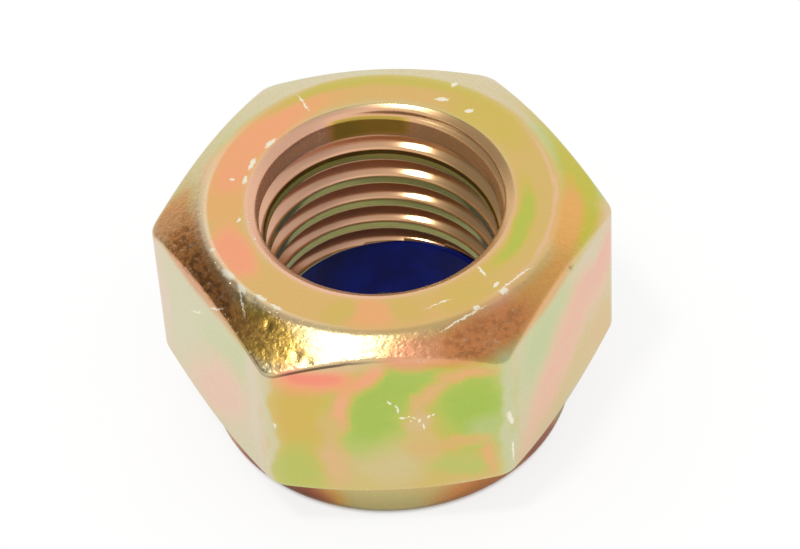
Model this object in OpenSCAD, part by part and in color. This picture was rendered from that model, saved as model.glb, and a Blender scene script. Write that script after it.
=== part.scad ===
// Self-locking hexagon nut with a nylon ring crimped into its crown
// Stands on the crown rim at z = 0, bearing face up, bolt axis along Z

/* [Hexagon] */
// Width across flats
across_flats = 24; // [23:0.25:28]
// Height from the crown rim to the bearing face
nut_h = 16; // [15:0.25:20]
// Height of the wrench flats at their middle, down from the bearing face
flat_h = 12.5; // [10:0.25:13]
// Radius that rounds each upright corner
corner_r = 1.2; // [0.4:0.1:2.5]
// Diameter of the flat ring that bears on the joint
face_d = 21.1; // [18:0.1:22.5]
// Slope of the chamfers that cut the corners at both ends
chamfer_deg = 30; // [15:1:40]

/* [Thread] */
// Nominal thread diameter
thread_d = 16; // [14:0.25:17]
// Distance from one thread turn to the next
pitch = 2; // [1.25:0.25:2.5]
// Length of the threaded part, countersink included
thread_h = 11; // [8:0.25:12]
// Diameter of the countersink at the bearing face
mouth_d = 16.2; // [15.5:0.1:17.5]
// Full angle of the countersink's cone
sink_deg = 110; // [90:5:120]

/* [Crown] */
// Outside diameter of the crown
crown_d = 22.3; // [21.5:0.1:22.9]
// Wall left round the ring pocket
crown_wall = 1.5; // [0.8:0.1:1.8]
// Rounding of the crown where it is rolled over
crown_r = 1; // [0.3:0.1:1.4]
// Opening between the rolled lips
lip_d = 17; // [16.5:0.1:17.6]
// Thickness of the lip at its edge
lip_t = 0.9; // [0.6:0.1:1.4]
// Slope of the lip's inner side
lip_deg = 35; // [10:1:45]
// Bevel round the lip's edge
lip_bevel = 0.3; // [0.1:0.1:0.5]

/* [Locking ring] */
// Bore of the nylon ring, smaller than the bolt's thread
ring_bore_d = 14.2; // [13.6:0.1:15]
// How far the nylon stays back from the crown rim
ring_setback = 0.1; // [0.1:0.05:0.55]
// Bevel on the ring's bore and free edges
ring_bevel = 0.1; // [0.1:0.05:0.4]
// Gap left all round the ring in its pocket
ring_gap = 0.02; // [0.01:0.01:0.1]

/* [Hidden] */
$fn = 96;

corners = 6;
flat_r = across_flats / 2;
// Centres of the corner roundings, on the hexagon's own corners
corner_centre_r = (flat_r - corner_r) / cos(180 / corners);
// Overshoot that keeps cut faces clear of each other
cut = 1;
chamfer_rise = tan(chamfer_deg);
envelope_r = flat_r / cos(180 / corners) + cut;

// Radius at the crests of a basic 60 degree thread
minor_r = thread_d / 2 - 0.54127 * pitch;

shoulder_z = nut_h - thread_h;
flat_z = nut_h - flat_h;
pocket_r = crown_d / 2 - crown_wall;
lip_r = lip_d / 2;
ring_r = pocket_r - ring_gap;
plug_r = lip_r - ring_gap;

// Height of the lip's sloping inner side at radius r
function lip_z(r) = lip_t + (r - lip_r) * tan(lip_deg);

// Point of the corner rounding of corner k, turned by side from its middle
function tangent(k, side) =
    let (a = k * 360 / corners, b = a + side * 180 / corners)
    corner_centre_r * [cos(a), sin(a)] + corner_r * [cos(b), sin(b)];

// Hexagon with rounded corners, one flat towards -Y
module hex_outline() {
    polygon([for (k = [0 : corners - 1]) for (side = [-1, 1]) tangent(k, side)]);
    for (k = [0 : corners - 1])
        rotate(k * 360 / corners)
            translate([corner_centre_r, 0])
                circle(r = corner_r);
}

// Half section of the crown and of the cones that chamfer the hexagon
module turned_outline() {
    neck_z = flat_z - (flat_r - crown_d / 2) * chamfer_rise;
    polygon([
        [0, 0],
        [crown_d / 2 - crown_r, 0],
        [crown_d / 2, crown_r],
        [crown_d / 2, neck_z],
        [envelope_r, flat_z + (envelope_r - flat_r) * chamfer_rise],
        [envelope_r, nut_h - (envelope_r - face_d / 2) * chamfer_rise],
        [face_d / 2, nut_h],
        [0, nut_h]
    ]);
    translate([crown_d / 2 - crown_r, crown_r])
        circle(r = crown_r);
}

// Space for the nylon ring, open downwards between the lips
module ring_pocket() {
    rotate_extrude()
        polygon([
            [0, -cut],
            [lip_r + lip_bevel + cut, -cut],
            [lip_r + lip_bevel, 0],
            [lip_r, lip_bevel],
            [lip_r, lip_t],
            [pocket_r, lip_z(pocket_r)],
            [pocket_r, shoulder_z],
            [0, shoulder_z]
        ]);
}

// Bore at the thread's crests, and the countersink above it
module bore() {
    translate([0, 0, shoulder_z - cut])
        cylinder(r = minor_r, h = thread_h + 2 * cut);
    sink_run = tan(sink_deg / 2);
    sink_h = (mouth_d / 2 - minor_r) / sink_run;
    translate([0, 0, nut_h - sink_h])
        cylinder(r1 = minor_r, r2 = mouth_d / 2 + cut * sink_run, h = sink_h + cut);
}

module nut_body() {
    color("darkkhaki")
    difference() {
        intersection() {
            linear_extrude(height = nut_h)
                hex_outline();
            rotate_extrude()
                turned_outline();
        }
        ring_pocket();
        bore();
    }
}

module locking_ring() {
    bore_r = ring_bore_d / 2;
    color("midnightblue")
    rotate_extrude()
        polygon([
            [bore_r + ring_bevel, ring_setback],
            [plug_r - ring_bevel, ring_setback],
            [plug_r, ring_setback + ring_bevel],
            [plug_r, lip_t + ring_gap],
            [ring_r, lip_z(pocket_r) + ring_gap],
            [ring_r, shoulder_z - ring_gap],
            [bore_r + ring_bevel, shoulder_z - ring_gap],
            [bore_r, shoulder_z - ring_gap - ring_bevel],
            [bore_r, ring_setback + ring_bevel]
        ]);
}

nut_body();
locking_ring();
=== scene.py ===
import math

import bpy
from mathutils import Matrix, Vector


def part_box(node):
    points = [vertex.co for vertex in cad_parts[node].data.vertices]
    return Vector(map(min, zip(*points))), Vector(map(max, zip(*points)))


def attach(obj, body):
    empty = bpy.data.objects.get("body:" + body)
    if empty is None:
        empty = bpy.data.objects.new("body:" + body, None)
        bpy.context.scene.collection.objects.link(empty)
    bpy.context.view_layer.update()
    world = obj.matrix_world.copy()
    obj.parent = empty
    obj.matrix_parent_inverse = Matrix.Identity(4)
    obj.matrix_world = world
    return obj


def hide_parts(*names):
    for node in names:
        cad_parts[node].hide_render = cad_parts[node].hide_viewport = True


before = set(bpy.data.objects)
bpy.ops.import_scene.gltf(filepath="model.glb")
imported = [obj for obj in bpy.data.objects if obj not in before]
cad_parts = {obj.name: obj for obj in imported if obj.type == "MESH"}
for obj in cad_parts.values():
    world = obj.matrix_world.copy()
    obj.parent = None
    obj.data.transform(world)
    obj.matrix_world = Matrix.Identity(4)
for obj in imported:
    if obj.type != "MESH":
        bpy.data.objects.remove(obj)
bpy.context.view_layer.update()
mm = 0.001
print("frame loaded")


# Sockets, nodes and trees

class Sock:
    # An output socket that adds Math nodes when it is used in an expression

    def __init__(self, graph, socket):
        self.graph = graph
        self.socket = socket

    def __add__(self, other):
        return self.graph.maths("ADD", self, other)

    def __radd__(self, other):
        return self.graph.maths("ADD", other, self)

    def __sub__(self, other):
        return self.graph.maths("SUBTRACT", self, other)

    def __rsub__(self, other):
        return self.graph.maths("SUBTRACT", other, self)

    def __mul__(self, other):
        return self.graph.maths("MULTIPLY", self, other)

    def __rmul__(self, other):
        return self.graph.maths("MULTIPLY", other, self)

    def __truediv__(self, other):
        return self.graph.maths("DIVIDE", self, other)

    def __rtruediv__(self, other):
        return self.graph.maths("DIVIDE", other, self)

    def __neg__(self):
        return self.graph.maths("MULTIPLY", self, -1.0)

    def __lt__(self, other):
        return self.graph.maths("LESS_THAN", self, other)

    def __gt__(self, other):
        return self.graph.maths("GREATER_THAN", self, other)


class Graph:
    # Builds the nodes of one tree

    def __init__(self, tree):
        self.tree = tree

    def feed(self, socket, value):
        if isinstance(value, Sock):
            self.tree.links.new(value.socket, socket)
        elif isinstance(value, bpy.types.NodeSocket):
            self.tree.links.new(value, socket)
        else:
            socket.default_value = value

    def node(self, kind, settings=None, inputs=None):
        made = self.tree.nodes.new(kind)
        for name, value in (settings or {}).items():
            if name == "stops":
                self.setStops(made.color_ramp, value)
            else:
                setattr(made, name, value)
        for name, value in (inputs or {}).items():
            self.feed(made.inputs[name], value)
        return made

    def get(self, kind, settings=None, inputs=None, output=0):
        return Sock(self, self.node(kind, settings, inputs).outputs[output])

    def setStops(self, ramp, stops):
        while len(ramp.elements) < len(stops):
            ramp.elements.new(1.0)
        for element, (place, colour) in zip(ramp.elements, stops):
            element.position = place
            element.color = (*colour, 1.0)

    def maths(self, operation, a, b=0.0, c=0.0):
        return self.get("ShaderNodeMath", {"operation": operation}, {0: a, 1: b, 2: c})

    def vector(self, operation, a, b=(0.0, 0.0, 0.0), output=0):
        return self.get("ShaderNodeVectorMath", {"operation": operation}, {0: a, 1: b}, output)

    def moved(self, where, offset):
        return self.vector("ADD", where, offset)

    def scaled(self, where, share):
        return self.get("ShaderNodeVectorMath", {"operation": "SCALE"}, {0: where, "Scale": share})

    def combine(self, x, y, z):
        return self.get("ShaderNodeCombineXYZ", None, {0: x, 1: y, 2: z})

    def separate(self, vector):
        made = self.node("ShaderNodeSeparateXYZ", None, {0: vector})
        return [Sock(self, output) for output in made.outputs]

    def sin(self, a):
        return self.maths("SINE", a)

    def cos(self, a):
        return self.maths("COSINE", a)

    def sqrt(self, a):
        return self.maths("SQRT", a)

    def abs(self, a):
        return self.maths("ABSOLUTE", a)

    def floor(self, a):
        return self.maths("FLOOR", a)

    def least(self, a, b):
        return self.maths("MINIMUM", a, b)

    def most(self, a, b):
        return self.maths("MAXIMUM", a, b)

    def wrap(self, a, high):
        return self.maths("FLOORED_MODULO", a, high)

    def softLeast(self, a, b, soft):
        return self.maths("SMOOTH_MIN", a, b, soft)

    def softMost(self, a, b, soft):
        return self.maths("SMOOTH_MAX", a, b, soft)

    def mix(self, share, a, b):
        return a + (b - a) * share

    def blend(self, share, a, b):
        return self.get("ShaderNodeMix", {"data_type": "RGBA"}, {0: share, 6: a, 7: b}, 2)

    def between(self, share, a, b):
        # Mixes vectors
        return self.get("ShaderNodeMix", {"data_type": "VECTOR"}, {0: share, 4: a, 5: b}, 1)

    def faced(self, where):
        # Turns a place so that each flat in turn looks to the front
        return {title: self.get("ShaderNodeVectorRotate", {"rotation_type": "Z_AXIS"},
                                {"Vector": where, "Angle": math.radians(turn)})
                for title, turn in flatTurns.items()}

    def ramp(self, value, stops):
        return self.get("ShaderNodeValToRGB", {"stops": stops}, {"Fac": value})

    def step(self, value, low, high):
        # Eases from 0 at low to 1 at high, or down again where high is the smaller
        start, end = (0.0, 1.0) if low < high else (1.0, 0.0)
        return self.get("ShaderNodeMapRange", {"interpolation_type": "SMOOTHSTEP", "clamp": False},
                        {"Value": value, "From Min": min(low, high), "From Max": max(low, high),
                         "To Min": start, "To Max": end})

    def noise(self, where, scale, detail=2.0, roughness=0.5, distortion=0.0, output="Fac"):
        return self.get("ShaderNodeTexNoise", None,
                        {"Vector": where, "Scale": scale, "Detail": detail,
                         "Roughness": roughness, "Distortion": distortion}, output)

    def patch(self, where, centre, reach, turn=(0.0, 0.0, 0.0), blur=0.6):
        # 1 inside an ellipsoid, easing to 0 across its border
        local = self.vector("SUBTRACT", where, centre)
        if any(turn):
            local = self.get("ShaderNodeVectorRotate", {"rotation_type": "EULER_XYZ", "invert": True},
                             {"Vector": local, "Rotation": turn})
        local = self.vector("DIVIDE", local, reach)
        return self.step(self.vector("LENGTH", local, output="Value"), 1 + blur, 1 - blur)

    def angleFromFront(self, x, y):
        # Degrees round the axis, 0 at the front and negative to the left
        return self.maths("ARCTAN2", x, -y) * (180 / math.pi)


# Sizes of the nut, in millimetres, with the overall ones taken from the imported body

boxLow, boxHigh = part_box("nut_body")
nut = {
    "acrossFlats": (boxHigh.y - boxLow.y) / mm,
    "height": boxHigh.z / mm,
    "flatHeight": 12.5,        # wrench flat at its middle, down from the bearing face
    "cornerRadius": 1.2,
    "faceDiameter": 21.1,
    "chamferAngle": 30,
    "mouthDiameter": 16.2,
    "sinkAngle": 110,          # full angle of the countersink
    "crownDiameter": 22.3,
    "crownWall": 1.5,
    "crownRadius": 1.0,
    "lipDiameter": 17.0,
    "lipThickness": 0.9,
    "lipAngle": 35,
    "lipBevel": 0.3,
    "edgeSoftness": 0.3,       # rounding worn into the outer edges
    "pocketSoftness": 0.1,     # and into the pocket's
    "columns": 384,            # steps round the axis
    "cornerCrowding": 0.55,    # share by which the steps close up at the corners
}
thread = {
    "diameter": 16.0,
    "pitch": 2.0,
    "length": 11.0,
    "start": 340,              # degrees, where the groove crosses the shoulder
    "flankAngle": 30,          # from the level
    "rootShare": 0.03,         # root flat as a share of the pitch
    "depthShare": 0.54127,     # depth as a share of the pitch
    "rootSoftness": 0.5,
    "crestSoftness": 0.12,
    "rows": 18,                # steps across one turn
    "turnsBelow": 2.5,         # turns of the strip that start below the shoulder and are cut off
    "spareTurns": 4,           # turns of the strip beyond the thread's length
    "mouthEdge": 0.2,          # rounding of the countersink's rim
    "mouthDrift": 0.15,        # how far the countersink was cut off centre, to the back
    "driftDepth": 0.4,         # depth below the rim at which that drift begins
    "driftFull": 0.4,          # width of the ring round the rim that drifts in full
    "driftMargin": 0.5,        # width of the ring inside the face's edge that doesn't drift
    "entryRadius": 7.62,       # the tap's lead, which cuts the first crests back
    "entryTaper": 0.17,        # loss of radius for each millimetre of depth
    "entrySoftness": 0.06,
    "sinkSoftness": 0.05,      # rounding where the groove runs out into the countersink
    "sinkDepth": 0.5,          # depth over which the groove sets in
    "shoulderStep": 0.1,       # how far the shoulder's hole is wider than the thread
}
touching = 0.002               # millimetres, below which points are merged
chamferRise = math.tan(math.radians(nut["chamferAngle"]))
flatRadius = nut["acrossFlats"] / 2
faceRadius = nut["faceDiameter"] / 2
mouthRadius = nut["mouthDiameter"] / 2
crownOuter = nut["crownDiameter"] / 2
pocketRadius = crownOuter - nut["crownWall"]
lipRadius = nut["lipDiameter"] / 2
flatLow = nut["height"] - nut["flatHeight"]
shoulder = nut["height"] - thread["length"]
threadRadius = thread["diameter"] / 2
crestRadius = threadRadius - thread["depthShare"] * thread["pitch"]
shoulderRadius = threadRadius + thread["shoulderStep"]
sinkRise = 1 / math.tan(math.radians(nut["sinkAngle"] / 2))
rimStart = nut["height"] - thread["mouthEdge"] * sinkRise
rimRadius = mouthRadius - thread["mouthEdge"]
arcStep = 12                   # degrees in one step of a rounding
typicalRadius = flatRadius * 1.08  # of the hexagon, for the slopes between a section's corners


def lipHeight(radius):
    return nut["lipThickness"] + (radius - lipRadius) * math.tan(math.radians(nut["lipAngle"]))


def sectionRows(corners):
    # Rows of (r, r per hexagon radius, z, z per hexagon radius, edge) down the half section.
    # A corner is (r, rHex, z, zHex, rounding, steps after it, edge), and each is rounded by an arc.
    places = [Vector((r + rHex * typicalRadius, z + zHex * typicalRadius))
              for r, rHex, z, zHex, *_ in corners]
    last = len(corners) - 1
    arcs = []
    for i, (*_, rounding, _, _) in enumerate(corners):
        if i in (0, last) or rounding == 0:
            arcs.append([Vector((0, 0))])
            continue
        before = (places[i - 1] - places[i]).normalized()
        after = (places[i + 1] - places[i]).normalized()
        bend = before.angle(after) / 2
        reach = rounding / math.tan(bend)
        centre = (before + after).normalized() * (rounding / math.sin(bend))
        a = before * reach - centre
        b = after * reach - centre
        count = max(3, round(math.degrees(math.pi - 2 * bend) / arcStep))
        sweep = a.angle_signed(b)
        arcs.append([centre + Matrix.Rotation(-sweep * k / count, 2) @ a for k in range(count + 1)])
    rows = []
    for i, (r, rHex, z, zHex, _, steps, edge) in enumerate(corners):
        rows += [(r + offset.x, rHex, z + offset.y, zHex, edge) for offset in arcs[i]]
        if i == last:
            break
        nextR, nextRHex, nextZ, nextZHex = corners[i + 1][:4]
        start, end = arcs[i][-1], arcs[i + 1][0]
        a = (r + start.x, rHex, z + start.y, zHex)
        b = (nextR + end.x, nextRHex, nextZ + end.y, nextZHex)
        for k in range(1, steps):
            share = k / steps
            rows.append((*[p + (q - p) * share for p, q in zip(a, b)], 0.0))
    return rows


soft = nut["edgeSoftness"]
neck = flatLow - (flatRadius - crownOuter) * chamferRise
nutCorners = [
    (rimRadius, 0, rimStart, 0, 0, 1, 1),
    (mouthRadius, 0, nut["height"], 0, thread["mouthEdge"], 10, 1),
    (faceRadius, 0, nut["height"], 0, soft * 3, 12, 0.6),
    (0, 1, nut["height"] + faceRadius * chamferRise, -chamferRise, soft, 34, 1),
    (0, 1, flatLow - flatRadius * chamferRise, chamferRise, soft, 8, 0.8),
    (crownOuter, 0, neck, 0, soft, 8, 0),
    (crownOuter, 0, 0, 0, nut["crownRadius"], 8, 0.3),
    (lipRadius + nut["lipBevel"] / 2, 0, 0, 0, nut["lipBevel"], 4, 0.7),
    (lipRadius, 0, nut["lipThickness"], 0, nut["pocketSoftness"], 6, 0.3),
    (pocketRadius, 0, lipHeight(pocketRadius), 0, nut["pocketSoftness"] * 2, 6, 0),
    (pocketRadius, 0, shoulder, 0, nut["pocketSoftness"], 6, 0),
    (shoulderRadius, 0, shoulder, 0, 0, 0, 0),
]


def sectionObject(name, corners):
    # A row of loose points that carries the half section into a geometry tree
    rows = sectionRows(corners)
    mesh = bpy.data.meshes.new(name)
    mesh.from_pydata([(0, 0, k * mm) for k in range(len(rows))], [], [])
    for slot, title in enumerate(("rBase", "rHex", "zBase", "zHex", "rowEdge")):
        attribute = mesh.attributes.new(title, "FLOAT", "POINT")
        attribute.data.foreach_set("value", [row[slot] for row in rows])
    made = bpy.data.objects.new(name, mesh)
    bpy.context.scene.collection.objects.link(made)
    return made


def newTree(name, inputs):
    tree = bpy.data.node_groups.new(name, "GeometryNodeTree")
    tree.interface.new_socket("Section", in_out="INPUT", socket_type="NodeSocketGeometry")
    for title, value in inputs.items():
        kind = {int: "NodeSocketInt", float: "NodeSocketFloat"}.get(type(value), "NodeSocketMaterial")
        tree.interface.new_socket(title, in_out="INPUT", socket_type=kind)
    tree.interface.new_socket("Piece", in_out="OUTPUT", socket_type="NodeSocketGeometry")
    return tree


def applyTree(made, tree, inputs):
    # Runs a tree on an object and leaves a plain mesh
    modifier = made.modifiers.new(tree.name, "NODES")
    modifier.node_group = tree
    names = {item.name: item.identifier for item in tree.interface.items_tree if item.in_out == "INPUT"}
    for title, value in inputs.items():
        modifier[names[title]] = value
    graph = bpy.context.evaluated_depsgraph_get()
    mesh = bpy.data.meshes.new_from_object(made.evaluated_get(graph))
    made.modifiers.clear()
    while mesh.materials and mesh.materials[0] is None:
        mesh.materials.pop(index=0)
    made.data = mesh
    mesh.name = made.name
    return made


def roundColumns(g, column, columns, crowding):
    # Angle of a column, with the columns closer together at the hexagon's corners
    turn = column / columns * math.tau
    return turn - g.sin(turn * 6) * crowding / 6


def hexagonRadius(g, angle, flat, corner):
    # Distance from the axis to the rounded hexagon at an angle, and how near a corner that is
    side = math.tau / 6
    away = g.abs(g.wrap(angle + side / 2, side) - side / 2)
    centre = (flat - corner) / math.cos(side / 2)
    across = centre * g.sin(away)
    arc = centre * g.cos(away) + g.sqrt(g.most(corner * corner - across * across, 0.0))
    plain = flat / g.cos(side / 2 - away)
    onArc = across < corner * math.sin(side / 2)
    return g.mix(onArc, plain, arc), g.most(1 - across / corner, 0.0)


def buildNutTree(inputs):
    tree = newTree("threadedNut", inputs)
    g = Graph(tree)
    given = g.node("NodeGroupInput")
    sent = {title: Sock(g, given.outputs[title]) for title in ("Section", *inputs)}
    index = g.get("GeometryNodeInputIndex")
    columns, crowding = sent["Columns"], sent["Corner crowding"]

    def grid(across, down):
        return g.get("GeometryNodeMeshGrid", None,
                     {"Size X": 1.0, "Size Y": 1.0, "Vertices X": across, "Vertices Y": down})

    def placed(mesh, angle, radius, height, edge):
        where = g.combine(radius * g.cos(angle) * mm, radius * g.sin(angle) * mm, height * mm)
        marked = g.get("GeometryNodeStoreNamedAttribute", {"data_type": "FLOAT", "domain": "POINT"},
                       {"Geometry": mesh, "Name": "edge", "Value": edge})
        return g.get("GeometryNodeSetPosition", None, {"Geometry": marked, "Position": where})

    # The outside: bearing face, chamfers, flats, crown and pocket
    rowCount = g.get("GeometryNodeAttributeDomainSize", None, {"Geometry": sent["Section"]}, "Point Count")
    column = g.floor((index + 0.5) / rowCount)
    row = index - column * rowCount
    angle = roundColumns(g, column, columns, crowding)
    hexagon, nearCorner = hexagonRadius(g, angle, sent["Across flats"] / 2, sent["Corner radius"])
    parts = {}
    for title in ("rBase", "rHex", "zBase", "zHex", "rowEdge"):
        named = g.get("GeometryNodeInputNamedAttribute", {"data_type": "FLOAT"}, {"Name": title})
        parts[title] = g.get("GeometryNodeSampleIndex", {"data_type": "FLOAT", "domain": "POINT"},
                             {"Geometry": sent["Section"], "Value": named, "Index": row})
    edge = g.most(parts["rowEdge"], nearCorner * parts["rHex"])
    radius = parts["rBase"] + parts["rHex"] * hexagon
    height = parts["zBase"] + parts["zHex"] * hexagon
    onFace = g.step(height, rimStart - thread["driftDepth"], rimStart)
    nearMouth = g.step(radius, faceRadius - thread["driftMargin"], rimRadius + thread["driftFull"])
    drift = (g.sin(angle) - 1) * sent["Mouth drift"]
    shell = placed(grid(columns + 1, rowCount), angle, radius + drift * onFace * nearMouth, height, edge)

    # The thread: one strip wound up the bore, its turns joined edge to edge
    stripRows = sent["Thread rows"] + 1
    column = g.floor((index + 0.5) / stripRows)
    share = (index - column * stripRows) / (stripRows - 1)
    whole = g.floor((column + 0.5) / columns)
    angle = roundColumns(g, column - whole * columns, columns, crowding) + whole * math.tau
    turns = (angle - sent["Thread start"]) / math.tau
    height = sent["Shoulder"] + sent["Pitch"] * (turns + share - thread["turnsBelow"])
    top = sent["Rim start"]
    held = g.least(g.most(height, sent["Shoulder"]), top)
    reached = g.wrap(share + (held - height) / sent["Pitch"], 1.0)
    fromRoot = g.abs(reached - 0.5) * sent["Pitch"]
    slope = 1 / math.tan(math.radians(thread["flankAngle"]))
    flank = sent["Thread radius"] - (fromRoot - sent["Root width"] / 2) * slope
    profile = g.softLeast(sent["Thread radius"], flank, sent["Root softness"])
    profile = g.softMost(sent["Crest radius"], profile, sent["Crest softness"])
    depth = top - held
    rim = sent["Rim radius"] + (g.sin(angle) - 1) * sent["Mouth drift"]
    lead = sent["Entry radius"] + (g.sin(angle) - 1) * sent["Mouth drift"] - depth * sent["Entry taper"]
    profile = g.softMost(profile, lead, thread["entrySoftness"])
    cone = rim - depth / sent["Sink rise"]
    deeper = g.softMost(profile - cone, 0.0, thread["sinkSoftness"])
    deeper = deeper * g.least(depth / thread["sinkDepth"], 1.0)
    radius = cone + g.most(deeper, 0.0)
    below = height < sent["Shoulder"] - sent["Pitch"] / (stripRows - 1)
    radius = g.mix(below, radius, sent["Shoulder radius"])
    atTop = height > top - touching / 2
    radius = g.mix(atTop, radius, rim)
    strip = placed(grid(columns * sent["Turns"] + 1, stripRows), angle, radius, held, 0.0)

    joined = g.node("GeometryNodeJoinGeometry")
    for part in (strip, shell):
        g.feed(joined.inputs[0], part)
    merged = g.get("GeometryNodeMergeByDistance", None,
                   {"Geometry": joined.outputs[0], "Distance": touching * mm})
    outward = g.get("GeometryNodeFlipFaces", None, {"Mesh": merged})
    filmed = g.get("GeometryNodeStoreNamedAttribute", {"data_type": "FLOAT_VECTOR", "domain": "POINT"},
                   {"Geometry": outward, "Name": "film", "Value": placedFilm(g)})
    smooth = g.get("GeometryNodeSetShadeSmooth", None, {"Geometry": filmed})
    real = g.get("GeometryNodeRealizeInstances", None, {"Geometry": smooth})
    dressed = g.get("GeometryNodeSetMaterial", None, {"Geometry": real, "Material": sent["Finish"]})
    g.node("NodeGroupOutput", None, {"Piece": dressed})
    return tree


def makeNut(finish):
    inputs = {
        "Across flats": float(nut["acrossFlats"]),
        "Corner radius": float(nut["cornerRadius"]),
        "Columns": nut["columns"],
        "Corner crowding": nut["cornerCrowding"],
        "Pitch": thread["pitch"],
        "Thread radius": threadRadius,
        "Crest radius": crestRadius,
        "Root width": thread["rootShare"] * thread["pitch"],
        "Root softness": thread["rootSoftness"],
        "Crest softness": thread["crestSoftness"],
        "Thread start": math.radians(thread["start"]),
        "Thread rows": thread["rows"],
        "Turns": math.ceil(thread["length"] / thread["pitch"]) + thread["spareTurns"],
        "Shoulder": float(shoulder),
        "Shoulder radius": shoulderRadius,
        "Rim start": float(rimStart),
        "Rim radius": rimRadius,
        "Mouth drift": thread["mouthDrift"],
        "Entry radius": thread["entryRadius"],
        "Entry taper": thread["entryTaper"],
        "Sink rise": sinkRise,
        "Finish": finish,
    }
    made = sectionObject("plated_nut", nutCorners)
    return applyTree(made, buildNutTree(inputs), inputs)


def dented(made, hollows):
    # Presses small hollows into a mesh, each (x, y, z, radius, depth) in millimetres
    mesh = made.data
    normals = [v.normal.copy() for v in mesh.vertices]
    for x, y, z, radius, depth in hollows:
        centre = Vector((x, y, z)) * mm
        for v, normal in zip(mesh.vertices, normals):
            away = (v.co - centre).length / (radius * mm)
            if away < 1:
                v.co -= normal * depth * mm * (1 - away * away) ** 2
    mesh.update()


nicks = [
    (-5.0, -11.2, 15.0, 0.5, 0.05), (-4.4, -11.7, 14.9, 0.4, 0.05),
    (-6.6, -9.2, 15.5, 0.35, 0.06), (-8.6, -6.3, 15.8, 0.3, 0.08), (-9.6, -3.7, 16.0, 0.25, 0.06),
    (-7.5, -7.5, 15.9, 0.3, 0.07), (-2.2, -11.9, 14.9, 0.3, 0.05), (-0.6, -11.9, 14.9, 0.25, 0.05),
    (11.0, -5.0, 14.6, 0.28, 0.2), (11.4, -4.3, 14.6, 0.22, 0.16),
    (6.9, -11.7, 11.4, 0.5, 0.12), (6.9, -11.7, 9.0, 0.55, 0.1),
    (7.0, -7.8, 15.6, 0.3, 0.05), (4.2, 8.2, 16.0, 0.25, 0.04), (5.5, 7.1, 16.0, 0.22, 0.04),
]


# The nylon ring, turned from its half section

ring = {
    "boreDiameter": 14.2,
    "setback": 0.1,            # how far it stays back from the crown rim
    "bevel": 0.1,              # of the free end's outer edge
    "boreBevel": 0.2,
    "neckBevel": 0.08,         # where the ring widens behind the lip
    "gap": 0.02,
    "softness": 0.12,
    "seam": 3.0,               # height at which the half section starts and closes
    "columns": 256,
}
ringOuter = pocketRadius - ring["gap"]
ringPlug = lipRadius - ring["gap"]
ringBore = ring["boreDiameter"] / 2
ringCorners = [
    (ringOuter, 0, ring["seam"], 0, 0, 3, 0),
    (ringOuter, 0, shoulder - ring["gap"], 0, ring["softness"], 6, 0),
    (ringBore, 0, shoulder - ring["gap"], 0, ring["boreBevel"], 8, 0),
    (ringBore, 0, ring["setback"], 0, ring["boreBevel"], 4, 0),
    (ringPlug, 0, ring["setback"], 0, ring["bevel"], 2, 0),
    (ringPlug, 0, nut["lipThickness"] + ring["gap"], 0, ring["neckBevel"], 4, 0),
    (ringOuter, 0, lipHeight(pocketRadius) + ring["gap"], 0, ring["softness"], 2, 0),
    (ringOuter, 0, ring["seam"], 0, 0, 0, 0),
]


def makeRing(finish):
    rows = [(row[0], row[2]) for row in sectionRows(ringCorners)][:-1]
    columns = ring["columns"]
    points = []
    for k in range(columns):
        angle = k / columns * math.tau
        points += [(r * math.cos(angle) * mm, r * math.sin(angle) * mm, z * mm) for r, z in rows]
    count = len(rows)
    faces = []
    for k in range(columns):
        here, beside = k * count, (k + 1) % columns * count
        faces += [(here + j, beside + j, beside + (j + 1) % count, here + (j + 1) % count)
                  for j in range(count)]
    mesh = bpy.data.meshes.new("nylon_ring")
    mesh.from_pydata(points, [], faces)
    mesh.shade_smooth()
    mesh.materials.append(finish)
    made = bpy.data.objects.new("nylon_ring", mesh)
    bpy.context.scene.collection.objects.link(made)
    return made


# Colours are written as they look, from 0 to 255

def tint(red, green, blue, alpha=None):
    plain = [c / 255 for c in (red, green, blue)]
    linear = [c / 12.92 if c < 0.04045 else ((c + 0.055) / 1.055) ** 2.4 for c in plain]
    return tuple(linear) if alpha is None else (*linear, alpha)


# A noise is (scale, detail, roughness) and a span is (where a mask is 0, where it is 1)
film = {
    "colours": [                       # from the greenest film to the pinkest
        (0.00, tint(146, 190, 68)), (0.16, tint(180, 194, 76)), (0.34, tint(210, 184, 80)),
        (0.50, tint(218, 178, 94)), (0.66, tint(234, 172, 104)), (0.82, tint(246, 162, 118)),
        (1.00, tint(248, 142, 120)),
    ],
    "pale": tint(214, 208, 184, 1),
    "copper": tint(196, 112, 62, 1),
    "worn": tint(246, 238, 214, 1),
    # Dark colour for grime, also used as painted shade on the crown, the chamfer and in the bore
    "grimeAndShade": tint(78, 56, 40, 1),
    "patchSize": 7.0,                  # millimetres, of the patches that nothing places
    "looseNoise": (1.0, 1.5, 0.45, 0.6),  # with a distortion
    "looseSpan": (0.3, 0.68),          # noise from the greenest of them to the pinkest
    "fadeScale": 0.09,                 # scale of the places where they are paler
    "fadeOffset": (7.0, 3.0, 1.0),
    "fadeSpan": (0.3, 0.62),
    "loosePaleness": (0.4, 0.75),
    "slowWander": (0.45, 1.54),        # a border's wander, as scale and reach in millimetres
    "quickWander": (1.1, 0.385),
    "roundWander": (6.0, 0.35, 0.2),   # its share round the axis in degrees, outwards and upwards
    "flatThickness": 1.2,              # reach of a flat's patch into the nut
    "roundBlur": 0.45,                 # softness of the borders round the axis
    "fineNoise": (1.1, 3.0, 0.55),
    "fineThickness": 0.09,             # how much the film's thickness varies with it
    "fineRoughness": 0.05,
    "fineDepth": 0.0006,
    "roughness": 0.27,
    "boreRoughness": 0.14,
    "boreDullness": 0.28,              # share of the film in the bore that doesn't mirror
}
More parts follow.
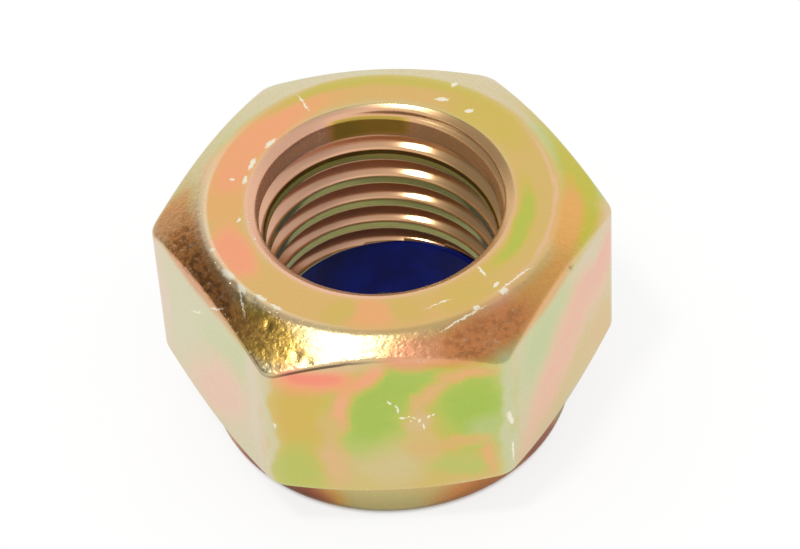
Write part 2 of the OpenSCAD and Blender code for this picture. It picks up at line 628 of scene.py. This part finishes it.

# Patches seen in the photo, as (centre, reach, turn in degrees, (film, paleness, copper)).
# A paleness under 0 mixes in the dark grime colour, which is real grime on some patches and painted shade on
# others.
# On a flat the centre and the reach are (along, up), with the flat's middle line at 0.
frontPatches = [
    ((0, 9), (9, 9), 0, (0.36, 0.15, 0.0)),
    ((-5.0, 10.8), (1.7, 3.2), 0, (0.42, 0.05, 0.0)),
    ((-5.6, 6.0), (1.4, 2.4), 0, (0.20, 0.15, 0.0)),
    ((-0.3, 6.2), (2.4, 2.7), 0, (0.36, 0.46, 0.0)),
    ((-3.3, 7.6), (0.75, 3.6), 0, (0.60, 0.30, 0.0)),
    ((-1.7, 8.4), (0.9, 1.5), 0, (0.20, 0.35, 0.0)),
    ((-1.1, 10.4), (2.4, 3.2), -10, (0.09, 0.1, 0.0)),
    ((0.6, 12.9), (2.7, 1.8), -32, (0.09, 0.1, 0.0)),
    ((2.4, 14.2), (2.9, 1.2), -8, (0.10, 0.12, 0.0)),
    ((5.0, 10.6), (2.5, 3.4), 0, (0.09, 0.08, 0.0)),
    ((5.5, 8.6), (1.1, 1.1), 0, (0.10, 0.35, 0.0)),
    ((1.6, 9.8), (0.5, 1.3), 8, (0.52, 0.35, 0.0)),
    ((2.5, 12.1), (0.5, 1.6), 40, (0.60, 0.2, 0.0)),
    ((4.5, 13.6), (1.8, 0.42), -8, (0.66, 0.15, 0.0)),
    ((1.9, 7.4), (0.8, 1.4), 0, (0.50, 0.25, 0.0)),
    ((3.8, 7.8), (2.0, 0.5), -8, (0.54, 0.15, 0.0)),
    ((4.1, 5.7), (1.9, 1.1), 0, (0.20, 0.2, 0.0)),
    ((5.9, 6.3), (0.32, 1.5), 0, (0.62, 0.15, 0.0)),
    ((-2.8, 11.3), (0.45, 1.9), 12, (0.78, 0.2, 0.0)),
    ((-1.1, 13.7), (0.5, 1.6), 48, (0.80, 0.15, 0.0)),
    ((-4.2, 14.0), (2.3, 1.25), 0, (0.98, 0.05, 0.0)),
    ((-7.0, 9), (0.35, 8), 0, (0.3, 0.7, 0.0)),
    ((7.0, 9), (0.45, 8), 0, (0.15, 0.65, 0.0)),
]
leftPatches = [
    ((0, 9), (9, 9), 0, (0.24, 0.72, 0.0)),
    ((3.0, 12.0), (4.0, 2.2), -20, (0.14, 0.6, 0.0)),
    ((0.6, 7.0), (5.2, 2.4), -38, (0.88, 0.58, 0.0)),
    ((-6.0, 10), (0.8, 5), 0, (0.8, 0.8, 0.0)),
    ((5.6, 10), (0.9, 6), 0, (0.6, 0.82, 0.0)),
]
rightPatches = [
    ((0, 9), (9, 9), 0, (0.28, 0.62, 0.0)),
    ((-2.0, 11.6), (3.4, 2.8), 0, (0.10, 0.52, 0.0)),
    ((1.2, 5.8), (5.5, 2.0), -8, (0.43, 0.33, 0.0)),
    ((5.2, 5.8), (2.2, 2.2), 0, (0.52, 0.3, 0.0)),
    ((0.8, 9.4), (7.4, 2.2), -38, (0.87, 0.45, 0.0)),
    ((4.8, 11.6), (2.2, 3.0), 0, (0.94, 0.48, 0.0)),
    ((4.2, 13.6), (2.4, 0.9), 0, (0.5, 0.7, 0.0)),
]
# Round the axis the centre is (degrees from the front, radius, height)
roundPatches = [
    ((0, 11.15, 1), (400, 1.2, 2.6), (0.42, 0.3, 0.2)),
    ((0, 9.3, 16), (400, 1.5, 0.6), (0.54, 0.14, 0.0)),
    ((-122, 9.2, 16), (38, 1.2, 0.6), (0.78, 0.1, 0.0)),
    ((-66, 9.4, 16), (13, 1.1, 0.6), (0.84, 0.1, 0.0)),
    ((-90, 9.2, 16), (7, 1.2, 0.6), (0.62, 0.1, 0.0)),
    ((-5, 9.1, 16), (7, 1.1, 0.6), (0.70, 0.1, 0.0)),
    ((-16, 9.3, 16), (5, 1.1, 0.6), (0.42, 0.1, 0.0)),
    ((9, 9.0, 16), (6, 0.9, 0.6), (0.46, 0.1, 0.0)),
    ((34, 9.1, 16), (15, 1.2, 0.6), (0.44, 0.1, 0.0)),
    ((84, 9.4, 16), (42, 1.2, 0.6), (0.46, 0.16, 0.0)),
    ((72, 8.7, 16), (24, 0.6, 0.6), (0.19, 0.05, 0.0)),
    ((84, 10.35, 16), (36, 0.12, 0.6), (0.7, 0.4, 0.0)),
    ((134, 9.2, 16), (19, 1.3, 0.6), (0.36, 0.1, 0.0)),
    ((172, 10.2, 16), (40, 0.5, 0.6), (0.3, 0.1, 0.0)),
    ((-172, 10.2, 16), (30, 0.5, 0.6), (0.3, 0.1, 0.0)),
    ((-150, 12, 15.2), (58, 1.5, 1.0), (0.32, 0.55, 0.0)),
    ((156, 12, 15.2), (42, 1.5, 1.0), (0.36, 0.5, 0.0)),
    ((92, 12, 15.2), (34, 1.5, 1.0), (0.26, 0.0, 0.0)),
    ((80, 11.3, 15.6), (16, 0.8, 0.7), (0.62, 0.0, 0.0)),
    ((52, 12, 15.2), (18, 1.5, 1.0), (0.58, 0.0, 0.2)),
    ((26, 12, 15.2), (20, 1.5, 1.0), (0.72, -0.04, 0.44)),
    ((-16, 12, 15.2), (17, 1.5, 1.0), (0.56, 0.45, 0.0)),
    ((8, 12, 15.2), (8, 1.5, 1.0), (0.78, 0.2, 0.2)),
    # Painted shade: gold film darkened beside the lamp's highlight on the front chamfer
    ((-36, 12, 15.2), (13, 1.5, 1.0), (0.42, -0.2, 0.15)),
    ((-70, 12, 15.2), (28, 1.5, 1.0), (0.60, 0.0, 0.6)),
    ((-92, 12.6, 15.0), (8, 1.2, 1.0), (0.62, 0.15, 0.4)),
    ((-8, 11.15, 1), (26, 0.8, 2.0), (0.26, 0.4, 0.1)),
    # Painted shade: a dark patch at the crown's foot, left of the front
    ((-40, 11.15, 1), (20, 0.8, 2.0), (0.95, -0.75, 0.3)),
    ((32, 11.15, 1), (18, 0.8, 2.0), (0.66, 0.0, 0.45)),
    # Painted shade: a dark patch at the crown's foot, right of the front
    ((54, 11.15, 1), (8, 0.8, 2.0), (0.95, -0.5, 0.4)),
]
# Scratches on the upper side, as (x, y, half length, half width, turn in degrees)
faceScratches = [
    (-4.5, 8.4, 0.75, 0.06, -65), (3.9, 8.2, 0.42, 0.15, 0), (4.7, 9.5, 0.3, 0.16, 60),
    (5.5, 7.1, 0.3, 0.15, 10), (5.8, -6.2, 0.42, 0.09, -62), (7.0, -7.8, 0.26, 0.2, 40),
    (6.6, -7.3, 0.24, 0.12, 70), (5.4, -9.0, 0.2, 0.12, 20), (3.2, -8.6, 0.8, 0.04, 25),
    (-8.9, -5.5, 0.5, 0.2, -50), (-8.1, -6.7, 0.45, 0.12, -60), (-7.0, -7.5, 0.4, 0.13, -40),
    (-6.1, -8.3, 0.4, 0.12, -40), (-9.9, -3.5, 0.18, 0.14, 0), (-8.35, -1.2, 0.16, 0.1, 90),
    (-8.0, 2.1, 0.35, 0.12, 80), (-7.6, 3.4, 0.5, 0.12, 68), (-6.5, 5.1, 0.5, 0.14, 50),
    (-8.75, 2.2, 0.14, 0.1, 0), (7.7, -6.9, 1.4, 0.05, 42), (4.6, -9.7, 1.6, 0.05, 32),
    (-8.1, -7.6, 1.2, 0.05, -80),
]
# Scratches on the flats, as (flat, along, up, half length, half width, turn in degrees)
flatScratches = [
    ("front", 0.1, 11.46, 0.2, 0.05, -60), ("front", 0.56, 10.8, 0.35, 0.04, -78),
    ("front", 0.8, 10.06, 0.16, 0.09, -20), ("front", 1.16, 10.14, 0.14, 0.06, 20),
    ("front", 1.5, 10.02, 0.16, 0.06, -40), ("front", 1.8, 9.75, 0.18, 0.07, 70),
    ("front", 2.04, 9.2, 0.28, 0.06, -85), ("front", 2.36, 10.1, 0.13, 0.07, 60),
    ("front", 2.62, 10.2, 0.09, 0.05, 20), ("front", 1.3, 9.7, 0.1, 0.05, 80),
    ("front", -6.6, 9.8, 0.2, 0.06, 90),
    ("left", -1.4, 12.1, 0.9, 0.06, 38), ("left", 1.3, 14.8, 0.8, 0.07, 38),
    ("right", -6.5, 9.2, 0.7, 0.16, -75), ("right", -6.4, 6.2, 0.9, 0.09, -88),
]
scratch = {
    "raggedness": 0.35,                # millimetres by which the borders are torn
    "raggedNoise": (4.0, 2.0, 0.6),
    "depth": 0.8,                      # reach of a scratch's mask across the surface
    "blur": 0.3,
}
flatTurns = {"left": 60, "front": 0, "right": -60}  # degrees that bring a flat to the front


def placedFilm(g):
    # The film's thickness, paleness and copper stain, held as a vector at each point of the nut
    spot = g.scaled(g.get("GeometryNodeInputPosition"), 1 / mm)
    x, y, z = g.separate(spot)
    drift = None
    for scale, reach in (film["slowWander"], film["quickWander"]):
        wander = g.scaled(g.moved(g.noise(spot, scale, 1.0, output="Color"), (-0.5, -0.5, -0.5)), reach)
        drift = wander if drift is None else g.moved(drift, wander)
    driftX, driftY, driftZ = g.separate(drift)
    turnShare, outShare, upShare = film["roundWander"]
    around = g.combine(g.angleFromFront(x, y) + driftX * turnShare,
                       g.sqrt(x * x + y * y) + driftY * outShare,
                       z + driftZ * upShare)
    loose = g.noise(g.scaled(spot, 1 / film["patchSize"]), *film["looseNoise"])
    fading = g.noise(g.moved(g.scaled(spot, film["fadeScale"]), film["fadeOffset"]), 1.0, 1.0)
    paleness = g.mix(g.step(fading, *film["fadeSpan"]), *film["loosePaleness"])
    field = g.combine(g.step(loose, *film["looseSpan"]), paleness, 0.0)
    turned = g.faced(g.moved(spot, drift))
    for title, patches in (("left", leftPatches), ("right", rightPatches), ("front", frontPatches)):
        for (along, up), (reachAlong, reachUp), turn, aim in patches:
            reach = (reachAlong, film["flatThickness"], reachUp)
            mask = g.patch(turned[title], (along, -flatRadius, up), reach, (0.0, math.radians(turn), 0.0))
            field = g.between(mask, field, aim)
    for centre, reach, aim in roundPatches:
        field = g.between(g.patch(around, centre, reach, blur=film["roundBlur"]), field, aim)
    return field


def scratchMask(g, spot):
    # Where the film is scraped through
    ragged = g.noise(spot, *scratch["raggedNoise"], output="Color")
    where = g.moved(spot, g.scaled(g.moved(ragged, (-0.5, -0.5, -0.5)), scratch["raggedness"]))
    total = None
    for x, y, length, width, turn in faceScratches:
        mask = g.patch(where, (x, y, nut["height"]), (length, width, scratch["depth"]),
                       (0.0, 0.0, math.radians(turn)), scratch["blur"])
        total = mask if total is None else g.most(total, mask)
    turned = g.faced(where)
    for title, along, up, length, width, turn in flatScratches:
        mask = g.patch(turned[title], (along, -flatRadius, up), (length, scratch["depth"], width),
                       (0.0, math.radians(-turn), 0.0), scratch["blur"])
        total = g.most(total, mask)
    return total


def newMaterial(name):
    made = bpy.data.materials.new(name)
    made.use_nodes = True
    made.node_tree.nodes.clear()
    return made, Graph(made.node_tree)


# Spans of places are in millimetres and others run over a noise or a mask.
# A film is (thickness, paleness, copper), as in the patches.
bore = {
    "span": (threadRadius + 0.06, threadRadius - 0.02),
    "crest": (0.18, 0.3, 0.05),
    "crestSpan": (0.62, 0.8),          # share of the way from root to crest
    "crestTop": (14.1, 13.4),          # heights
    "leftFlank": (0.84, 0.45, 0.05),
    "rightFlank": (0.58, 0.3, 0.16),
    "flankSpan": (-4.0, 5.0),          # from the left's colour to the right's
    "leadSpan": (13.9, 14.5),          # heights
    "lip": (0.34, -0.3, 0.06),         # an olive stretch of the lead at the back, darkened by painted shade
    "lipMiddle": 0.6,                  # left of the axis
    "lipSide": (2.8, 1.8),
    "lipBack": (5.0, 6.0),
    "lipRim": (7.7, 7.6),
    "crestShade": (0.3, -0.85, 0.0),         # painted shade: a dark line over the first crest
    "crestShadeLow": (-0.47, -0.44),         # shares of a turn
    "crestShadeHigh": (-0.28, -0.32),
    "crestShadeHeight": 13.1,
    "crestShadeReach": (0.9, 0.7),
}
wear = {
    "edgeSpan": (0.2, 0.9),            # from a soft edge to a sharp one
    "edgeShare": 0.05,                 # how worn a sharp edge is
    "knockedShare": 0.6,               # and how much more so on the battered left
    "knocked": ((-72, 10.4, 16), (46, 0.5, 0.8)),
    "batteredNoise": (0.22, 1.0),
    "batteredSpan": (0.56, 0.68),
    "fleckNoise": (3.2, 3.0, 0.65),
    "fleckSpan": (0.5, 0.68),
    "rubbedSpan": (0.35, 0.8),
    "rubbedShare": 0.6,
    "rubbedDepth": 0.02,
    "scrapedRoughness": 0.15,
}
chamfer = {
    "shadeLine": ((-21, 12.7, 14.7), (18, 1.2, 1.4)),  # the painted shade line, round the axis
    "shadeLineTop": (0.02, 0.10),         # depths under the chamfer's cone
    "shadeLineLow": (0.28, 0.20),
    "shadeLineShare": 0.85,
    "coneSpan": (0.45, 0.15),          # distance from the cone
    "startSpan": (0.0, 0.3),           # distance outwards from the bearing face's edge
    "grainNoise": (2.4, 4.0, 0.62),
    "grainStretch": (1.0, 1.0, 2.0),
    "pitNoise": (7.0, 2.0, 0.5),
    "stainSpan": (0.3, 0.6),           # of the copper
    "darkSpan": (0.54, 0.38),
    "darkShare": 0.5,
    "lightSpan": (0.56, 0.68),
    "lightShare": 0.4,
    "grainDepth": 0.035,
    "pitDepth": 0.003,
    "grainRoughness": 0.3,
}
crown = {
    "shadeSpan": (3.8, 0.6),           # painted shade, darker towards the foot
    "shadeShare": 0.32,
}


def boreFilm(g, where, radius, degrees):
    # The film that follows the thread's turns, with painted shade over the first crest and on the lead at
    # the back, where it applies and how far it is polished
    x, y, z = where
    turn = (z - shoulder) / thread["pitch"] - (degrees - 90 - thread["start"]) / 360
    place = g.wrap(turn + 0.5, 1.0) - 0.5
    fromRoot = g.abs(place) * 2
    inBore = g.step(radius, *bore["span"])
    crest = g.step(fromRoot, *bore["crestSpan"]) * g.step(z, *bore["crestTop"])
    flank = g.between(g.step(x, *bore["flankSpan"]), bore["leftFlank"], bore["rightFlank"])
    field = g.between(crest, flank, bore["crest"])
    lead = g.step(z, *bore["leadSpan"])
    # Olive film on the lead at the back, darkened as painted shade
    lip = g.step(g.abs(x + bore["lipMiddle"]), *bore["lipSide"]) * g.step(y, *bore["lipBack"])
    lip = lip * g.step(radius, *bore["lipRim"])
    field = g.between(lead * lip, field, bore["lip"])
    # Painted shade: a dark line along the top of the first crest
    crestShade = g.step(place, *bore["crestShadeLow"]) * g.step(place, *bore["crestShadeHigh"])
    crestShade = crestShade * g.step(g.abs(z - bore["crestShadeHeight"]), *bore["crestShadeReach"])
    field = g.between(crestShade, field, bore["crestShade"])
    return field, inBore, inBore * (1 - lead * (1 - lip))


def filmColour(g, field, fine):
    thickness, paleness, copper = g.separate(field)
    colour = g.ramp(thickness + (fine - 0.5) * film["fineThickness"], film["colours"])
    colour = g.blend(paleness, colour, film["pale"])
    # Paleness under 0 darkens towards the grime colour, which in several places is painted shade
    colour = g.blend(-paleness, colour, film["grimeAndShade"])
    return g.blend(copper, colour, film["copper"]), copper


def makePlating():
    made, g = newMaterial("yellowZincPlate")
    spot = g.scaled(g.get("ShaderNodeTexCoord", None, None, "Object"), 1 / mm)
    x, y, z = g.separate(spot)
    radius = g.sqrt(x * x + y * y)
    degrees = g.angleFromFront(x, y)
    around = g.combine(degrees, radius, z)
    field = g.get("ShaderNodeAttribute", {"attribute_name": "film"}, None, "Vector")
    turning, inBore, polished = boreFilm(g, (x, y, z), radius, degrees)
    fine = g.noise(spot, *film["fineNoise"])
    colour, copper = filmColour(g, g.between(inBore, field, turning), fine)

    # Wear: thin edges, chips and single scratches
    edge = g.get("ShaderNodeAttribute", {"attribute_name": "edge"}, None, "Fac")
    flecks = g.noise(spot, *wear["fleckNoise"])
    battered = g.step(g.noise(spot, *wear["batteredNoise"]), *wear["batteredSpan"])
    knocked = g.patch(around, *wear["knocked"])
    thin = g.step(edge, *wear["edgeSpan"]) * (knocked * wear["knockedShare"] + wear["edgeShare"])
    colour = g.blend(thin, colour, film["worn"])
    rubbed = g.step(edge * g.step(flecks, *wear["fleckSpan"]), *wear["rubbedSpan"])
    rubbed = rubbed * g.most(battered, knocked)
    scraped = g.most(scratchMask(g, spot), rubbed * wear["rubbedShare"])
    colour = g.blend(scraped, colour, film["worn"])

    # The forged chamfer is rougher than the ground faces, with a painted shade line under its front edge
    cone = nut["height"] - (radius - faceRadius) * chamferRise
    under = cone - z
    # Painted shade: a dark line just under the chamfer's front edge
    shadeLine = g.step(under, *chamfer["shadeLineTop"]) * g.step(under, *chamfer["shadeLineLow"])
    shadeLine = shadeLine * g.patch(around, *chamfer["shadeLine"])
    # Painted shade: the colour darkens towards the crown's foot
    shade = g.step(z, *crown["shadeSpan"]) * crown["shadeShare"]
    colour = g.blend(g.most(shadeLine * chamfer["shadeLineShare"], shade), colour, film["grimeAndShade"])
    onCone = g.step(g.abs(under), *chamfer["coneSpan"])
    onCone = onCone * g.step(radius - faceRadius, *chamfer["startSpan"])
    grain = g.noise(g.vector("MULTIPLY", spot, chamfer["grainStretch"]), *chamfer["grainNoise"])
    pits = g.noise(spot, *chamfer["pitNoise"])
    stained = g.step(copper, *chamfer["stainSpan"]) * onCone
    dark = stained * g.step(grain, *chamfer["darkSpan"]) * chamfer["darkShare"]
    colour = g.blend(dark, colour, film["grimeAndShade"])
    light = stained * g.step(flecks, *chamfer["lightSpan"]) * chamfer["lightShare"]
    colour = g.blend(light, colour, film["worn"])

    roughness = g.mix(polished, film["roughness"], film["boreRoughness"])
    roughness = roughness + (fine - 0.5) * film["fineRoughness"] + scraped * wear["scrapedRoughness"]
    roughness = roughness + onCone * (grain - 0.5) * chamfer["grainRoughness"]
    height = onCone * (grain * chamfer["grainDepth"] + pits * chamfer["pitDepth"])
    height = fine * film["fineDepth"] + height - rubbed * wear["rubbedDepth"]
    bump = g.get("ShaderNodeBump", None, {"Strength": 1.0, "Distance": mm, "Height": height})
    shader = g.node("ShaderNodeBsdfPrincipled", None,
                    {"Base Color": colour, "Metallic": 1 - inBore * film["boreDullness"],
                     "Roughness": roughness, "Normal": bump})
    g.node("ShaderNodeOutputMaterial", None, {"Surface": shader.outputs[0]})
    return made


nylon = {
    "deep": tint(4, 18, 106, 1),
    "bright": tint(6, 32, 142, 1),
    "cloudNoise": (0.35, 3.0, 0.55),
    "cloudSpan": (0.3, 0.7),
    "fineNoise": (6.0, 2.0, 0.5),
    "roughness": 0.42,
    "roughnessSpread": 0.12,
    "sheen": 0.12,                     # how much it mirrors
    "grainDepth": 0.006,               # millimetres
    "waveDepth": 0.02,
}


def makeNylon():
    made, g = newMaterial("blueNylon")
    spot = g.scaled(g.get("ShaderNodeTexCoord", None, None, "Object"), 1 / mm)
    cloudy = g.noise(spot, *nylon["cloudNoise"])
    fine = g.noise(spot, *nylon["fineNoise"])
    colour = g.blend(g.step(cloudy, *nylon["cloudSpan"]), nylon["deep"], nylon["bright"])
    height = fine * nylon["grainDepth"] + cloudy * nylon["waveDepth"]
    bump = g.get("ShaderNodeBump", None, {"Strength": 1.0, "Distance": mm, "Height": height})
    roughness = nylon["roughness"] + (fine - 0.5) * nylon["roughnessSpread"]
    shader = g.node("ShaderNodeBsdfPrincipled", None,
                    {"Base Color": colour, "Roughness": roughness,
                     "Specular IOR Level": nylon["sheen"], "Normal": bump})
    g.node("ShaderNodeOutputMaterial", None, {"Surface": shader.outputs[0]})
    return made


plated = makeNut(makePlating())
dented(plated, nicks)
print("nut", len(plated.data.vertices), "points", len(plated.data.polygons), "faces")
collar = makeRing(makeNylon())
print("ring", len(collar.data.polygons), "faces")

for piece, node, slot in ((plated, "nut_body", "zinc_plated_steel"), (collar, "locking_ring", "blue_nylon")):
    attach(piece, "root")
    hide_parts(node)


# Floor, studio and lamp

studio = {
    "floor": tint(250, 250, 250, 1),
    "floorGlow": 0.8,                  # share of the floor that shows as plain white
    "floorSize": 6.0,                  # metres
    "footprint": (10.5, 11.0),         # millimetres from the axis, inside which none of it does
    "contact": (10.0, 15.0),           # and the same in reflections
    "fill": 0.85,                      # light on what isn't glossy
    "lampPower": 0.7,
    "lampSize": 0.07,
    "lampAway": 0.5,
    "lampFrom": (-0.23, -0.25, 0.94),
    # Darker places round the nut, as (direction, cosine at the border, cosine at the heart, depth)
    "shades": [
        ((-0.80, 0.10, 0.58), 0.66, 0.97, 0.84),
        ((0.05, -0.15, 0.98), 0.70, 0.97, 0.38),
        ((0.78, -0.10, 0.62), 0.78, 0.98, 0.30),
    ],
}


def makeFloor():
    made, g = newMaterial("paleFloor")
    path = g.node("ShaderNodeLightPath")
    spot = g.scaled(g.get("ShaderNodeTexCoord", None, None, "Object"), 1 / mm)
    away = g.vector("LENGTH", spot, output="Value")
    clear = g.step(away, *studio["footprint"])
    clearer = g.step(away, *studio["contact"])
    mirrored = g.most(Sock(g, path.outputs["Is Glossy Ray"]), Sock(g, path.outputs["Is Transmission Ray"]))
    seen = g.most(Sock(g, path.outputs["Is Camera Ray"]) * clear, mirrored * clearer)
    matt = g.get("ShaderNodeBsdfDiffuse", None, {"Color": studio["floor"]})
    glow = g.get("ShaderNodeEmission", None, {"Color": (1.0, 1.0, 1.0, 1.0), "Strength": 1.0})
    shader = g.get("ShaderNodeMixShader", None, {0: seen * studio["floorGlow"], 1: matt, 2: glow})
    g.node("ShaderNodeOutputMaterial", None, {"Surface": shader})
    bpy.ops.mesh.primitive_plane_add(size=studio["floorSize"])
    floor = bpy.context.object
    floor.name = "floor"
    floor.data.materials.append(made)


def makeWorld():
    world = bpy.data.worlds.new("studio")
    world.use_nodes = True
    world.node_tree.nodes.clear()
    bpy.context.scene.world = world
    g = Graph(world.node_tree)
    direction = g.get("ShaderNodeTexCoord", None, None, "Generated")
    level = None
    for aim, border, heart, depth in studio["shades"]:
        unit = Vector(aim).normalized()
        near = g.vector("DOT_PRODUCT", direction, tuple(unit), output="Value")
        share = 1 - g.step(near, border, heart) * depth
        level = share if level is None else level * share
    path = g.node("ShaderNodeLightPath")
    glossy = Sock(g, path.outputs["Is Glossy Ray"])
    camera = Sock(g, path.outputs["Is Camera Ray"])
    strength = g.mix(glossy, studio["fill"], level)
    strength = g.mix(camera, strength, 1.0)
    shader = g.get("ShaderNodeBackground", None, {"Color": (1.0, 1.0, 1.0, 1.0), "Strength": strength})
    g.node("ShaderNodeOutputWorld", None, {"Surface": shader})


def makeLamp():
    lamp = bpy.data.lights.new("softLamp", "AREA")
    lamp.shape = "DISK"
    lamp.size = studio["lampSize"]
    lamp.energy = studio["lampPower"]
    made = bpy.data.objects.new("softLamp", lamp)
    bpy.context.scene.collection.objects.link(made)
    aim = Vector(studio["lampFrom"]).normalized()
    made.location = aim * studio["lampAway"]
    made.rotation_euler = aim.to_track_quat("Z", "Y").to_euler()


makeFloor()
makeWorld()
makeLamp()
print("stage ready")


# Camera, at the photo's place

view = {
    "focalPixels": 3653.4,
    "frameWidth": 800,                 # pixels
    "sensorWidth": 36,
    "nearest": 0.01,                   # metres, where the view begins
    "distance": 215.718,               # millimetres, from the middle of the bearing face
    "elevation": 46.915,
    "azimuth": 1.5,
    "roll": 3.675,
    "slideX": -1.186,                  # millimetres, from the picture's middle to the face's
    "slideY": 4.451,
}


def makeCamera():
    turn, tilt, roll = (math.radians(view[key]) for key in ("azimuth", "elevation", "roll"))
    back = Vector((math.sin(turn) * math.cos(tilt), -math.cos(turn) * math.cos(tilt), math.sin(tilt)))
    right = Vector((math.cos(turn), math.sin(turn), 0))
    up = back.cross(right)
    rolledRight = right * math.cos(roll) - up * math.sin(roll)
    rolledUp = right * math.sin(roll) + up * math.cos(roll)
    place = rolledRight * -view["slideX"] + rolledUp * -view["slideY"] + back * view["distance"]
    place.z += nut["height"]
    lens = bpy.data.cameras.new("camera")
    lens.sensor_width = view["sensorWidth"]
    lens.lens = view["focalPixels"] * lens.sensor_width / view["frameWidth"]
    lens.clip_start = view["nearest"]
    made = bpy.data.objects.new("camera", lens)
    bpy.context.scene.collection.objects.link(made)
    facing = Matrix((rolledRight, rolledUp, back)).transposed()
    made.matrix_world = Matrix.Translation(place * mm) @ facing.to_4x4()
    bpy.context.scene.camera = made


makeCamera()
bpy.context.scene.view_settings.view_transform = "Standard"
